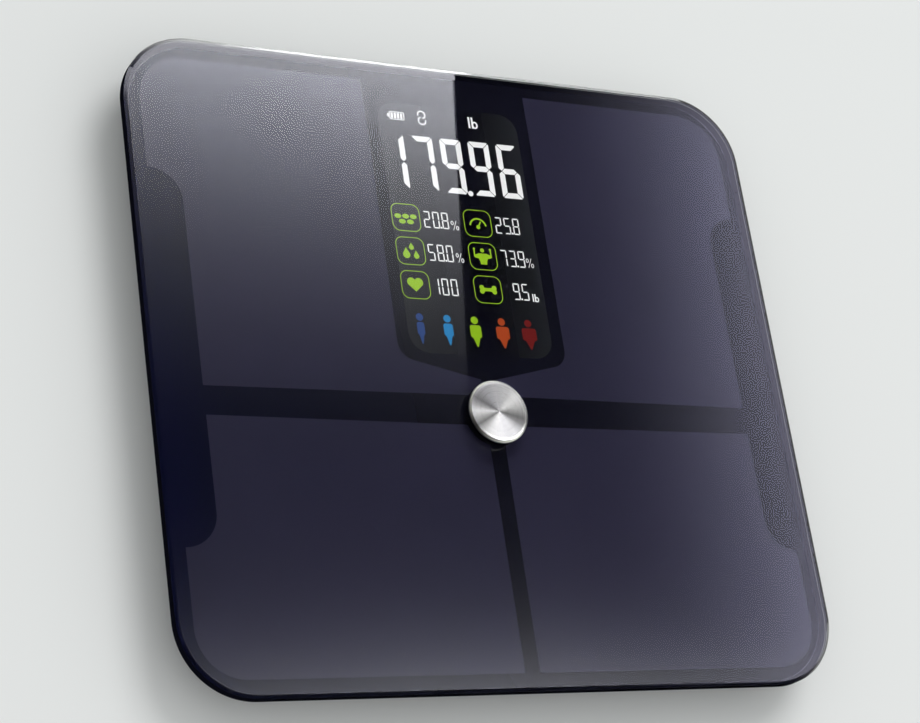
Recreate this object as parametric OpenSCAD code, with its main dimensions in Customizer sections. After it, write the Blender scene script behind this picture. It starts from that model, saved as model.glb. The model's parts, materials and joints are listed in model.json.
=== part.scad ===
// Digital bathroom scale: a bevelled glass platform over a shallow tray, with a display under the glass,
// a round steel button in the middle, four clear electrode coatings and a load cell over each foot.
// Millimetres. The scale lies flat: +Z is up, +Y points to the display (toe) end, +X to the right.
// The origin is on the floor, under the middle of the glass.

/* [Glass] */
// Width of the glass
glass_w = 300; // [250:1:380]
// Depth of the glass from the toe end to the heel end
glass_d = 277.6; // [230:0.2:350]
// Thickness of the glass
glass_t = 5; // [4:0.5:8]
// Corner radius of the glass seen from above
glass_r = 31; // [26:1:45]
// Bevel round the top edge
bevel = 1.1; // [0.6:0.1:2]
// Bevel round the bottom edge
bottom_bevel = 0.5; // [0.2:0.1:1]
// Height of the top of the glass above the floor
top_z = 24; // [24:0.5:32]

/* [Print and electrodes] */
// Clear margin between the glass edge and the printed film
print_margin = 0.5; // [0.5:0.1:4]
// Black border between the edge of the print and the electrodes
border = 7.6; // [3:0.1:12]
// Corner radius of the electrodes at the corners of the glass
electrode_r = 20; // [12:1:24]
// Width of the black bar across the middle
bar_w = 12.2; // [6:0.1:20]
// Width of the black bar down to the heel end
stem_w = 6.7; // [4:0.1:12]
// Distance from the middle of the glass to the middle of the bar, towards the heel end
bar_offset = 19.7; // [12:0.1:26]
// Width of the black lobe at each side
lobe_w = 14; // [8:0.5:20]
// Length of the black lobe at each side
lobe_l = 158.8; // [100:0.2:180]
// Width of the black window between the upper electrodes
window_w = 80; // [78:0.5:100]
// Height of the window's shoulders above the middle of the glass
shoulder_y = 1.3; // [0:0.1:4]
// Corner radius of the window's shoulders
shoulder_r = 8; // [4:0.5:12]
// How far the window's point falls below its shoulders
point_drop = 7.9; // [4:0.1:10]
// Thickness of the printed film
film_t = 0.15; // [0.1:0.05:0.5]
// Thickness given to the conductive coating
coat_t = 0.05; // [0.05:0.01:0.2]

/* [Display] */
// Width of the visible display
view_w = 68.6; // [50:0.1:70]
// Distance from the middle of the glass to the lower edge of the visible display
view_y = 4.9; // [3:0.1:12]
// Distance from the toe edge of the glass to the visible display
view_margin = 17.9; // [12:0.1:40]
// Corner radius of the visible display
view_r = 9; // [2:0.5:14]
// Rim of the display cell hidden behind the print
cell_rim = 2; // [1:0.5:3]
// Thickness of the display cell
cell_t = 1.8; // [1.2:0.1:2.2]
// Thickness of the backlight
light_t = 2.6; // [1.5:0.1:3]
// Wall of the display frame
frame_wall = 1.6; // [1:0.1:2]

/* [Centre button] */
// Radius of the steel cap
cap_r = 13.7; // [12:0.1:16]
// Thickness of the steel cap
cap_t = 1.8; // [1.2:0.1:3]
// Gap between the glass and the cap
cap_gap = 0.8; // [0.8:0.1:1.5]
// Distance from the middle of the glass to the button, towards the heel end
button_offset = 21.7; // [20:0.1:26]
// Radius of the hole in the glass
glass_hole_r = 6.5; // [6.2:0.1:8]
// Radius of the plunger under the cap
plunger_r = 3.5; // [3:0.1:4]
// Clearance round the plunger in its bush
run_gap = 0.06; // [0.03:0.01:0.1]

/* [Tray] */
// Distance from the glass edge in to the tray's side
tray_inset = 8; // [7:0.5:10]
// Height of the tray's underside above the floor
tray_z = 4; // [3:0.5:5]
// Thickness of the tray's floor
tray_t = 2; // [1.8:0.1:2.5]
// Wall of the tray
tray_wall = 2.2; // [1.5:0.1:3]
// Width of the foam tape on the tray's rim
tape_w = 5; // [4:0.5:6]
// Thickness of the foam tape
tape_t = 0.8; // [0.5:0.1:1.2]

/* [Feet] */
// Distance from the glass edges in to the middle of a foot
foot_inset = 46; // [44:0.5:60]
// Radius of a foot
foot_r = 15; // [12:0.5:17]
// Radius of the rubber pad under a foot
pad_r = 12; // [8:0.5:13]
// Height of the rubber pad
pad_t = 2; // [1.5:0.1:2.5]
// Side of the square load cell
cell_side = 34; // [30:0.5:36]
// Thickness of the load cell
load_t = 1.2; // [0.8:0.1:1.5]
// Wall of the load cell's holder
holder_wall = 4; // [3:0.5:5]

/* [Batteries] */
// Radius of a battery
battery_r = 5.25; // [5:0.05:5.5]
// Length of a battery with its nub
battery_l = 44.5; // [40:0.5:50]
// Room for the contact springs
spring_l = 6.5; // [5:0.5:9]
// Distance from the heel edge of the glass to the battery compartment
bay_margin = 22.8; // [20:0.1:40]

/* [Boards] */
// Width of the main circuit board
board_w = 70; // [66:1:72]
// Thickness of both circuit boards
board_t = 1.6; // [1:0.1:1.6]
// Side of the button's square circuit board
small_board = 20; // [18:0.5:22]

/* [Hidden] */
$fn = 64;
eps = 0.01;

glass_z = top_z - glass_t;
film_z = glass_z - film_t;
rim_z = film_z - tape_t;
tray_top_z = tray_z + tray_t;

film_w = glass_w - 2 * print_margin;
film_d = glass_d - 2 * print_margin;
panel_w = film_w - 2 * border;
panel_d = film_d - 2 * border;

view_top = glass_d / 2 - view_margin;
view_d = view_top - view_y;
view_mid = (view_top + view_y) / 2;
cell_w = view_w + 2 * cell_rim;
cell_d = view_d + 2 * cell_rim;
cell_z = film_z - cell_t;
light_z = cell_z - light_t;
frame_t = 0.8;
frame_gap = 0.1;

button_y = -button_offset;
cap_z = top_z + cap_gap;
plunger_z = 14.2;
bush_r = 5.9;
bush_z = 16;
bush_flange_r = 9;
bush_flange_t = 1.5;
spring_bore_r = 5.2;
spring_seat_z = glass_z + 0.5;
clip_t = 0.6;
clip_z = bush_z - 0.1 - clip_t;
foil_t = 0.1;
foil_w = 2;
foil_r = bush_r + 0.2;
coat_hole_r = cap_r - 1.2;

tray_w = glass_w - 2 * tray_inset;
tray_d = glass_d - 2 * tray_inset;
tray_r = glass_r - 7;
tray_chamfer = 1.2;
lip_t = 1.5;

foot_x = glass_w / 2 - foot_inset;
foot_y = glass_d / 2 - foot_inset;
foot_gap = 1;
foot_low = pad_t - 0.5;
foot_top = 8.2;
holder_side = cell_side + 2 * holder_wall;
holder_z = foot_top + 1;
load_z = 11;
post_r = 2.4;
post_gap = 0.2;

board_z = 8.4;
board_top = board_z + board_t;
board_y0 = view_y + 15;
board_y1 = view_top - 12;
board_mid = (board_y0 + board_y1) / 2;
boss_r = 3;
screw_r = 1.2;
boss_inset = 4;
socket_l = 6;
socket_h = 3;
lead_r = 0.4;
lead_z = load_z + load_t / 2;

plate_t = 0.5;
battery_pitch = 2 * battery_r + 0.9;
bay_w = 4 * battery_pitch + 1.6;
bay_l = battery_l + spring_l + 2 * plate_t;
bay_y0 = -glass_d / 2 + bay_margin;
bay_y1 = bay_y0 + bay_l;
bay_wall = 2.4;
battery_z = tray_top_z + 0.15 + battery_r;
bay_top = battery_z + battery_r + 0.25;
terminal_z = battery_z + 2.6;
terminal_w = 3;

door_t = 1.8;
door_gap = 0.3;
door_ledge = 1.4;
door_w = bay_w + 2 * door_ledge - 2 * door_gap;
door_y0 = bay_y0 - 2 + door_gap;
door_y1 = bay_y1 + 2 - door_gap;
hinge_r = 1.2;
hinge_y = door_y1 - hinge_r;
hinge_z = tray_z + hinge_r;
hinge_pin_r = 0.7;
hinge_pin_l = 2;

key_r = 4;
key_gap = 0.1;
key_flange_r = 5;
key_flange_t = 0.35;
key_switch_h = board_z - tray_top_z - 0.8;
key_pin_r = 1.5;
button_switch_h = plunger_z - 1.1 - board_top;
button_pin_r = 1.75;
switch_side = 6;
switch_well = 1.2;

FOIL_TURNS = [55, 125, 225, 315];
CORNERS = [[-1, 1], [1, 1], [-1, -1], [1, -1]];

// ---------- shared shapes ----------

// A rectangle with round corners, centred on the origin.
module round_rect(w, d, r) {
  square([w - 2 * r, d], center = true);
  square([w, d - 2 * r], center = true);
  for (x = [-1, 1], y = [-1, 1])
    translate([x * (w / 2 - r), y * (d / 2 - r)]) circle(r);
}

module plate(w, d, r, t) {
  linear_extrude(t) round_rect(w, d, r);
}

// Half section of a plate edge: low is the bevel underneath and high is the bevel on top.
module edge_section(half, t, low, high) {
  polygon([[0, 0], [half - low, 0], [half, low], [half, t - high], [half - high, t], [0, t]]);
}

// A plate with round corners whose edges are bevelled all the way round.
module bevelled_plate(w, d, r, t, low, high) {
  for (side = [0, 180]) {
    rotate([0, 0, side]) translate([0, d / 2 - r, 0]) rotate([90, 0, 0])
      linear_extrude(d - 2 * r) edge_section(w / 2, t, low, high);
    rotate([0, 0, side + 90]) translate([0, w / 2 - r, 0]) rotate([90, 0, 0])
      linear_extrude(w - 2 * r) edge_section(d / 2, t, low, high);
  }
  for (x = [-1, 1], y = [-1, 1])
    translate([x * (w / 2 - r), y * (d / 2 - r), 0])
      rotate_extrude() edge_section(r, t, low, high);
}

module tube(outer, inner, h) {
  difference() {
    cylinder(h = h, r = outer);
    translate([0, 0, -eps]) cylinder(h = h + 2 * eps, r = inner);
  }
}

// A coil of square wire: a sector of a ring that turns as it rises.
module coil(mean_r, wire, turns, h) {
  pitch = h / turns;
  sweep = 360 * wire / pitch;
  steps = 3;
  outer = [for (i = [0:steps]) (mean_r + wire / 2) * [cos(sweep * i / steps), sin(sweep * i / steps)]];
  inner = [for (i = [steps:-1:0]) (mean_r - wire / 2) * [cos(sweep * i / steps), sin(sweep * i / steps)]];
  linear_extrude(h, twist = -360 * turns, slices = 12 * turns, $fn = 12) polygon(concat(outer, inner));
}

// A round wire through a list of points, with a slight bead at each bend.
module wire(points, r) {
  bead = 0.15;
  for (i = [0:len(points) - 2]) {
    a = points[i];
    b = points[i + 1];
    v = b - a;
    translate(a) rotate([0, acos(v[2] / norm(v)), atan2(v[1], v[0])])
      cylinder(h = norm(v), r = r, $fn = 24);
  }
  if (len(points) > 2)
    for (i = [1:len(points) - 2]) translate(points[i]) sphere(r + bead, $fn = 24);
}

// ---------- glass, print and electrodes ----------

module glass_platform() {
  color([0.75, 0.8, 0.82, 0.5]) difference() {
    translate([0, 0, glass_z]) bevelled_plate(glass_w, glass_d, glass_r, glass_t, bottom_bevel, bevel);
    translate([0, button_y, glass_z - 1]) cylinder(h = glass_t + 2, r = glass_hole_r);
  }
}

module print_film() {
  color([0.03, 0.03, 0.05]) translate([0, 0, film_z]) linear_extrude(film_t) difference() {
    round_rect(film_w, film_d, glass_r - print_margin);
    translate([0, view_mid]) round_rect(view_w, view_d, view_r);
    translate([0, button_y]) circle(glass_hole_r);
  }
}

// The black window between the toe electrodes: two round shoulders and a shallow point.
module window_outline() {
  slope = atan2(point_drop, window_w / 2);
  steps = 10;
  corner = [window_w / 2 - shoulder_r, shoulder_y + shoulder_r];
  shoulder = [for (i = [0:steps]) let (a = -90 + slope + (90 - slope) * i / steps)
    corner + shoulder_r * [cos(a), sin(a)]];
  left = [for (i = [steps:-1:0]) [-shoulder[i][0], shoulder[i][1]]];
  polygon(concat(
    [[-window_w / 2, glass_d]], left, [[0, shoulder_y - point_drop]], shoulder, [[window_w / 2, glass_d]]
  ));
}

// One electrode: its quarter of the panel without the bars, the side lobe and the ring under the button.
module electrode(sx, sy) {
  bar_top = -bar_offset + bar_w / 2;
  bar_low = -bar_offset - bar_w / 2;
  color([0.2, 0.18, 0.32]) translate([0, 0, top_z]) linear_extrude(coat_t) difference() {
    intersection() {
      round_rect(panel_w, panel_d, electrode_r);
      translate([sx > 0 ? stem_w / 2 : -glass_w, sy > 0 ? bar_top : bar_low - glass_d])
        square([glass_w - stem_w / 2, glass_d]);
    }
    translate([sx * (panel_w / 2 + lobe_w), 0]) round_rect(4 * lobe_w, lobe_l, lobe_w);
    if (sy > 0) window_outline();
    translate([0, button_y]) circle(coat_hole_r);
  }
}

// Foils from the electrodes, under the button and down through the hole to the button's board.
module electrode_foils() {
  color("peru") translate([0, button_y, 0]) for (a = FOIL_TURNS) rotate([0, 0, a]) {
    translate([foil_r, -foil_w / 2, top_z]) cube([coat_hole_r - foil_r, foil_w, foil_t]);
    translate([foil_r, -foil_w / 2, board_top]) cube([foil_t, foil_w, top_z + foil_t - board_top]);
  }
}

// ---------- tray ----------

module foam_tape() {
  color([0.1, 0.1, 0.1]) translate([0, 0, rim_z]) linear_extrude(tape_t) difference() {
    round_rect(tray_w, tray_d, tray_r);
    round_rect(tray_w - 2 * tape_w, tray_d - 2 * tape_w, tray_r - tape_w);
  }
}

module screw_places() {
  for (x = [-1, 1], y = [board_y0 + boss_inset, board_y1 - boss_inset])
    translate([x * (board_w / 2 - boss_inset), y]) children();
  for (s = [-1, 1])
    translate([s * (small_board / 2 - 2.8), button_y + s * (small_board / 2 - 2.8)]) children();
}

module base_tray() {
  side_t = rim_z - tray_z;
  color([0.12, 0.12, 0.13]) difference() {
    union() {
      difference() {
        translate([0, 0, tray_z]) bevelled_plate(tray_w, tray_d, tray_r, side_t, tray_chamfer, 0.1);
        translate([0, 0, tray_top_z]) plate(tray_w - 2 * tray_wall, tray_d - 2 * tray_wall,
          tray_r - tray_wall, side_t - tray_t - lip_t);
        translate([0, 0, rim_z - lip_t - eps]) plate(tray_w - 2 * tape_w, tray_d - 2 * tape_w,
          tray_r - tape_w, lip_t + 1);
      }
      screw_places() translate([0, 0, tray_top_z - eps])
        cylinder(h = board_z - tray_top_z + eps, r = boss_r);
      translate([-bay_w / 2 - bay_wall, bay_y0 - bay_wall, tray_top_z - eps])
        cube([bay_w + 2 * bay_wall, bay_l + 2 * bay_wall, rim_z - 0.2 - tray_top_z]);
      for (x = [-1, 1], y = [-1, 1]) translate([x * foot_x, y * foot_y, tray_top_z - eps])
        cylinder(h = 1.5, r = foot_r + foot_gap + 1.8);
    }
    // battery compartment, its mouth and the slots for the two terminals
    translate([-bay_w / 2, bay_y0, tray_z - 1]) cube([bay_w, bay_l, bay_top - tray_z + 1]);
    translate([-door_w / 2 - door_gap, door_y0 - door_gap, tray_z - 1])
      cube([door_w + 2 * door_gap, door_y1 - door_y0 + 2 * door_gap, tray_t + 1]);
    for (s = [-1, 1])
      translate([s * 1.5 * battery_pitch - terminal_w / 2 - 0.2, bay_y1 - eps, terminal_z - 0.5])
        cube([terminal_w + 0.4, bay_wall + 1, 1]);
    // hinge sockets and a finger notch for the door
    translate([-door_w / 2 - hinge_pin_l - 0.2, hinge_y, hinge_z]) rotate([0, 90, 0])
      cylinder(h = door_w + 2 * hinge_pin_l + 0.4, r = hinge_pin_r + run_gap);
    translate([-door_w / 2 - door_gap, hinge_y, hinge_z]) rotate([0, 90, 0])
      cylinder(h = door_w + 2 * door_gap, r = hinge_r + door_gap);
    translate([0, door_y0 - 1, tray_z - 4]) sphere(6.5);
    // feet, unit key and screw pilots
    for (x = [-1, 1], y = [-1, 1]) translate([x * foot_x, y * foot_y, tray_z - 1])
      cylinder(h = 8, r = foot_r + foot_gap);
    translate([0, board_mid, tray_z - 1]) cylinder(h = tray_t + 2, r = key_r + key_gap);
    screw_places() translate([0, 0, tray_z + 0.8]) cylinder(h = 6, r = screw_r + 0.05);
  }
}

// ---------- display ----------

module display_cell() {
  color([0.1, 0.11, 0.14]) translate([0, view_mid, cell_z]) linear_extrude(cell_t)
    square([cell_w, cell_d], center = true);
}

module display_backlight() {
  color([0.85, 0.87, 0.88]) translate([0, view_mid, light_z]) linear_extrude(light_t)
    square([cell_w, cell_d], center = true);
}

module display_frame() {
  inner_w = cell_w + 2 * frame_gap;
  inner_d = cell_d + 2 * frame_gap;
  low = light_z - frame_t;
  color([0.2, 0.2, 0.22]) translate([0, view_mid, 0]) difference() {
    translate([0, 0, low]) linear_extrude(film_z - low)
      square([inner_w + 2 * frame_wall, inner_d + 2 * frame_wall], center = true);
    translate([0, 0, light_z]) linear_extrude(film_z) square([inner_w, inner_d], center = true);
    translate([0, 0, low - 1]) linear_extrude(5) square([cell_w - 12, cell_d - 12], center = true);
    translate([1, -inner_d / 2 - 3, cell_z - 0.3]) cube([20, 6, cell_t]);
  }
}

// Ribbon from the display's lower edge, round the frame and on to the main board.
module display_ribbon() {
  out_y = view_y - cell_rim - frame_gap - frame_wall - 0.9;
  in_y = view_y - cell_rim;
  high = cell_z + 0.7;
  color("darkorange") translate([2, 0, 0]) rotate([90, 0, 90]) linear_extrude(18) polygon([
    [in_y, high], [out_y, high], [out_y, board_top], [board_y0 + 6, board_top],
    [board_y0 + 6, board_top + 0.2], [out_y + 0.2, board_top + 0.2], [out_y + 0.2, high - 0.2],
    [in_y, high - 0.2]
  ]);
}

// ---------- boards ----------

module main_board() {
  color([0.05, 0.3, 0.15]) difference() {
    translate([-board_w / 2, board_y0, board_z]) cube([board_w, board_y1 - board_y0, board_t]);
    screw_places() translate([0, 0, board_z - 1]) cylinder(h = 4, r = screw_r + 0.2);
  }
}

module chip(x, y, w, d, h) {
  translate([x - w / 2, y - d / 2, board_top]) cube([w, d, h]);
}

module board_chips() {
  color([0.08, 0.08, 0.09]) {
    chip(-16, board_mid - 4, 10, 10, 1.2);
    chip(8, board_mid - 10, 6, 8, 1.1);
    chip(14, board_mid + 14, 12, 18, 2);
    chip(-14, board_mid + 16, 8, 5, 1.4);
    for (i = [0:3]) chip(-2, board_mid - 8 + 5 * i, 1.6, 0.8, 0.6);
    for (i = [0:3]) chip(22, board_mid - 16 + 3 * i, 2, 1.2, 0.8);
  }
}

module board_sockets() {
  color([0.9, 0.9, 0.86]) for (x = [-1, 1], y = [board_y0 + 14, board_y1 - 14])
    translate([x * (board_w / 2 + 1 - socket_l / 2) - socket_l / 2, y - 4, board_top])
      cube([socket_l, 8, socket_h]);
}

module board_screws() {
  color("silver") screw_places() {
    translate([0, 0, board_top]) difference() {
      cylinder(h = 1, r = 2.2);
      for (a = [0, 90]) rotate([0, 0, a]) translate([-1.3, -0.25, 0.5]) cube([2.6, 0.5, 1]);
    }
    translate([0, 0, tray_top_z - 0.8]) cylinder(h = board_top - tray_top_z + 0.8 + eps, r = screw_r);
  }
}

// ---------- centre button ----------

// Steel cap: a bevelled rim round a very shallow cone, so that the turned face catches the light.
module button_cap() {
  color("silver") translate([0, button_y, cap_z]) rotate_extrude($fn = 96) polygon([
    [0, 0], [cap_r - 0.4, 0], [cap_r, 0.4], [cap_r, cap_t - 0.6], [cap_r - 0.6, cap_t],
    [cap_r - 1.3, cap_t], [0, cap_t - 0.25]
  ]);
}

module button_plunger() {
  color([0.9, 0.9, 0.88]) translate([0, button_y, 0]) difference() {
    translate([0, 0, plunger_z]) cylinder(h = cap_z - plunger_z, r = plunger_r);
    translate([0, 0, clip_z]) tube(plunger_r + 1, plunger_r - 0.7, clip_t);
  }
}

module button_clip() {
  color("gray") translate([0, button_y, clip_z]) difference() {
    cylinder(h = clip_t, r = plunger_r + 1.2);
    translate([0, 0, -1]) cylinder(h = clip_t + 2, r = plunger_r - 0.7);
    translate([0, -1.6, -1]) cube([10, 3.2, clip_t + 2]);
  }
}

module button_bush() {
  flange_z = film_z - bush_flange_t;
  color([0.15, 0.15, 0.16]) translate([0, button_y, 0]) difference() {
    union() {
      translate([0, 0, bush_z]) cylinder(h = top_z - bush_z, r = bush_r);
      translate([0, 0, flange_z]) cylinder(h = bush_flange_t, r = bush_flange_r);
    }
    translate([0, 0, bush_z - 1]) cylinder(h = glass_t + 10, r = plunger_r + run_gap);
    translate([0, 0, spring_seat_z]) cylinder(h = glass_t + 1, r = spring_bore_r);
    for (a = FOIL_TURNS) rotate([0, 0, a])
      translate([bush_r, -foil_w / 2 - 0.2, flange_z - 1])
        cube([foil_r - bush_r + foil_t + 0.2, foil_w + 0.4, 5]);
  }
}

module button_spring() {
  color("silver") translate([0, button_y, spring_seat_z])
    coil((spring_bore_r + plunger_r) / 2, 0.5, 4, cap_z - spring_seat_z);
}

module button_board() {
  color([0.05, 0.3, 0.15]) difference() {
    translate([-small_board / 2, button_y - small_board / 2, board_z])
      cube([small_board, small_board, board_t]);
    screw_places() translate([0, 0, board_z - 1]) cylinder(h = 4, r = screw_r + 0.2);
  }
}

// A push switch: a square body with a round well for its pin.
module push_switch(side, h, pin_r, well) {
  difference() {
    translate([-side / 2, -side / 2, 0]) cube([side, side, h]);
    translate([0, 0, h - well]) cylinder(h = well + 1, r = pin_r + run_gap);
  }
}

module button_switch() {
  color([0.2, 0.2, 0.2]) translate([0, button_y, board_top])
    push_switch(switch_side, button_switch_h, button_pin_r, switch_well);
}

module button_switch_pin() {
  color("tan") translate([0, button_y, board_top + button_switch_h - 0.4])
    cylinder(h = 1.5, r = button_pin_r);
}

module button_ribbon() {
  start = button_y + small_board / 2 - 2;
  color("lightgray") translate([-7, start, board_top]) cube([6, board_y0 + 3 - start, 0.6]);
}

// ---------- unit key on the underside ----------

module unit_key() {
  color([0.75, 0.75, 0.76]) translate([0, board_mid, 0]) {
    translate([0, 0, tray_z + 0.3]) cylinder(h = tray_t - 0.2, r = key_r);
    translate([0, 0, tray_top_z + 0.1]) cylinder(h = key_flange_t, r = key_flange_r);
  }
}

module unit_switch() {
  color([0.2, 0.2, 0.2]) translate([0, board_mid, board_z]) mirror([0, 0, 1])
    push_switch(switch_side, key_switch_h, key_pin_r, switch_well);
}

module unit_switch_pin() {
  low = tray_top_z + 0.1 + key_flange_t;
  color("tan") translate([0, board_mid, low])
    cylinder(h = board_z - key_switch_h + 0.7 - low, r = key_pin_r);
}

// ---------- load cells and feet ----------

// Steel load cell: a square plate with two slots that free the tongue which the foot pushes.
module load_cell(sx, sy) {
  color("silver") translate([sx * foot_x, sy * foot_y, load_z]) linear_extrude(load_t) difference() {
    square(cell_side, center = true);
    for (s = [-1, 1]) translate([s * cell_side / 4, 0]) square([2, cell_side - 10], center = true);
    translate([0, cell_side / 2 - 6]) square([cell_side / 2 - 1, 2], center = true);
    circle(post_r + post_gap);
  }
}

// Holder bonded under the glass. The load cell slides in from the side that faces the middle.
module cell_holder(sx, sy) {
  window = cell_side - 4;
  color([0.85, 0.85, 0.82]) translate([sx * foot_x, sy * foot_y, 0]) difference() {
    translate([-holder_side / 2, -holder_side / 2, holder_z])
      cube([holder_side, holder_side, film_z - holder_z]);
    translate([-window / 2, -window / 2, holder_z - 1]) cube([window, window, film_z - 1.6 - holder_z + 1]);
    translate([-sx * holder_side / 4, 0, load_z + load_t / 2])
      cube([cell_side + holder_side / 2 + 0.1, cell_side + 0.1, load_t + 0.02], center = true);
  }
}

// Foot: a round shoe whose post snaps into the load cell's tongue.
module foot_cap(sx, sy) {
  color([0.14, 0.14, 0.15]) translate([sx * foot_x, sy * foot_y, 0]) rotate_extrude() polygon([
    [0, pad_t], [pad_r + 0.1, pad_t], [pad_r + 0.1, foot_low], [foot_r - 1, foot_low], [foot_r, foot_low + 1],
    [foot_r, foot_top], [6, foot_top], [6, load_z - 0.6], [post_r, load_z - 0.6],
    [post_r, load_z + load_t + 0.1], [post_r + 1, load_z + load_t + 0.1],
    [post_r + 0.4, load_z + load_t + 1.2], [0, load_z + load_t + 1.2]
  ]);
}

module foot_pad(sx, sy) {
  color([0.25, 0.25, 0.26]) translate([sx * foot_x, sy * foot_y, 0]) difference() {
    cylinder(h = pad_t, r = pad_r);
    for (r = [4, 7, 10]) translate([0, 0, -0.5]) tube(r, r - 1, 1);
  }
}

// Lead from a load cell's edge to its socket on the main board, square along the tray's sides.
module sensor_lead(sx, sy) {
  socket_y = sy > 0 ? board_y1 - 14 : board_y0 + 14;
  run_x = foot_x - holder_side / 2 - 8;
  color([0.7, 0.1, 0.1]) wire([
    [sx * (board_w / 2 + 1), socket_y, lead_z], [sx * run_x, socket_y, lead_z],
    [sx * run_x, sy * foot_y, lead_z], [sx * (foot_x - cell_side / 2), sy * foot_y, lead_z]
  ], lead_r);
}

// ---------- batteries ----------

// Place of battery i, counted from the left. Every other battery is turned round.
module battery_place(i) {
  turned = i % 2 == 1;
  translate([(i - 1.5) * battery_pitch, turned ? bay_y1 - plate_t : bay_y0 + plate_t, battery_z])
    rotate([turned ? 90 : -90, 0, 0]) children();
}

module battery(i) {
  nub = 1;
  color([0.85, 0.6, 0.2]) battery_place(i) {
    cylinder(h = nub + eps, r = 1.9);
    translate([0, 0, nub]) cylinder(h = battery_l - nub, r = battery_r);
  }
}

module battery_springs() {
  color("silver") for (i = [0:3]) battery_place(i) translate([0, 0, battery_l])
    coil(3.2, 0.6, 3, spring_l);
}

module battery_plates() {
  h = 8;
  low = battery_z - h / 2;
  single = battery_pitch - 2;
  double = 2 * battery_pitch - 2;
  color("silver") {
    for (s = [-1, 1]) {
      translate([s * battery_pitch - double / 2, bay_y0, low]) cube([double, plate_t, h]);
      translate([s * 1.5 * battery_pitch - single / 2, bay_y1 - plate_t, low]) cube([single, plate_t, h]);
      translate([s * 1.5 * battery_pitch - terminal_w / 2, bay_y1 - eps, terminal_z - 0.2])
        cube([terminal_w, bay_wall + 2, 0.4]);
    }
    translate([-double / 2, bay_y1 - plate_t, low]) cube([double, plate_t, h]);
  }
}

module power_leads() {
  reach = board_w / 2 - 9;
  start = bay_y1 + bay_wall + 2;
  color([0.6, 0.05, 0.05]) for (s = [-1, 1]) wire([
    [s * 1.5 * battery_pitch, start, terminal_z], [s * reach, start + 10, lead_z],
    [s * reach, board_y0 + 3, lead_z], [s * reach, board_y0 + 3, board_top]
  ], lead_r);
}

// Door hinged on two short pins at its inner end, with a finger lip at its free end.
module battery_door() {
  color([0.13, 0.13, 0.14]) difference() {
    union() {
      translate([-door_w / 2, door_y0, tray_z]) cube([door_w, hinge_y - door_y0, door_t]);
      translate([-door_w / 2, hinge_y, hinge_z]) rotate([0, 90, 0]) cylinder(h = door_w, r = hinge_r);
      translate([-door_w / 2 - hinge_pin_l, hinge_y, hinge_z]) rotate([0, 90, 0])
        cylinder(h = door_w + 2 * hinge_pin_l, r = hinge_pin_r);
    }
    for (i = [0:4]) translate([-10, door_y0 + 6 + 2 * i, tray_z - 0.5]) cube([20, 0.9, 0.9]);
  }
}

// ---------- nodes ----------

glass_platform();
print_film();
electrode(-1, 1);  // electrode_toe_left
electrode(1, 1);  // electrode_toe_right
electrode(-1, -1);  // electrode_heel_left
electrode(1, -1);  // electrode_heel_right
electrode_foils();
foam_tape();
base_tray();
display_cell();
display_backlight();
display_frame();
display_ribbon();
main_board();
board_chips();
board_sockets();
board_screws();
button_cap();
button_plunger();
button_clip();
button_bush();
button_spring();
button_board();
button_switch();
button_switch_pin();
button_ribbon();
unit_key();
unit_switch();
unit_switch_pin();
load_cell(-1, 1);  // load_cell_toe_left
load_cell(1, 1);  // load_cell_toe_right
load_cell(-1, -1);  // load_cell_heel_left
load_cell(1, -1);  // load_cell_heel_right
cell_holder(-1, 1);  // cell_holder_toe_left
cell_holder(1, 1);  // cell_holder_toe_right
cell_holder(-1, -1);  // cell_holder_heel_left
cell_holder(1, -1);  // cell_holder_heel_right
foot_cap(-1, 1);  // foot_cap_toe_left
foot_cap(1, 1);  // foot_cap_toe_right
foot_cap(-1, -1);  // foot_cap_heel_left
foot_cap(1, -1);  // foot_cap_heel_right
foot_pad(-1, 1);  // foot_pad_toe_left
foot_pad(1, 1);  // foot_pad_toe_right
foot_pad(-1, -1);  // foot_pad_heel_left
foot_pad(1, -1);  // foot_pad_heel_right
sensor_lead(-1, 1);  // sensor_lead_toe_left
sensor_lead(1, 1);  // sensor_lead_toe_right
sensor_lead(-1, -1);  // sensor_lead_heel_left
sensor_lead(1, -1);  // sensor_lead_heel_right
battery(0);  // battery_1
battery(1);  // battery_2
battery(2);  // battery_3
battery(3);  // battery_4
battery_springs();
battery_plates();
power_leads();
battery_door();
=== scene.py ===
import json
import math

import bmesh
import bpy
from mathutils import Matrix, Vector
from mathutils.geometry import tessellate_polygon


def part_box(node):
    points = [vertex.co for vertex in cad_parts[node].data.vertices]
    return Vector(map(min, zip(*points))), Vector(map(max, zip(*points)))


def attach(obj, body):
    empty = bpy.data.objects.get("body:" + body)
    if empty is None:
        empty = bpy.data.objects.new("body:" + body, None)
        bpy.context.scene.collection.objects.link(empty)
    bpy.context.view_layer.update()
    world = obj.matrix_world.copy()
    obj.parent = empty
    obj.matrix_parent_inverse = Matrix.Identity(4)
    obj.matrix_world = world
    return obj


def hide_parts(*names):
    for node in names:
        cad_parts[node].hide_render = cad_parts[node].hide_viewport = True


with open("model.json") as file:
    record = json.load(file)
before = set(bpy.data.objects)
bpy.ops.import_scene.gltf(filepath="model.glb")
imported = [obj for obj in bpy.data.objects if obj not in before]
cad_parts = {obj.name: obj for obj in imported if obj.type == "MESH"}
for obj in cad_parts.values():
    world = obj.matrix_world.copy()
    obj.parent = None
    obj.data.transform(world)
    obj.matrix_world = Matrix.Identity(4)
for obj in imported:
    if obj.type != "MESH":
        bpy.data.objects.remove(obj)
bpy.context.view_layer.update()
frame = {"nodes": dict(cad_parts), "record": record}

MM = 0.001
GLASS_LO, GLASS_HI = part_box("glass_platform")
FILM_LO, FILM_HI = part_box("print_film")
CELL_LO, CELL_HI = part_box("display_cell")
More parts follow.
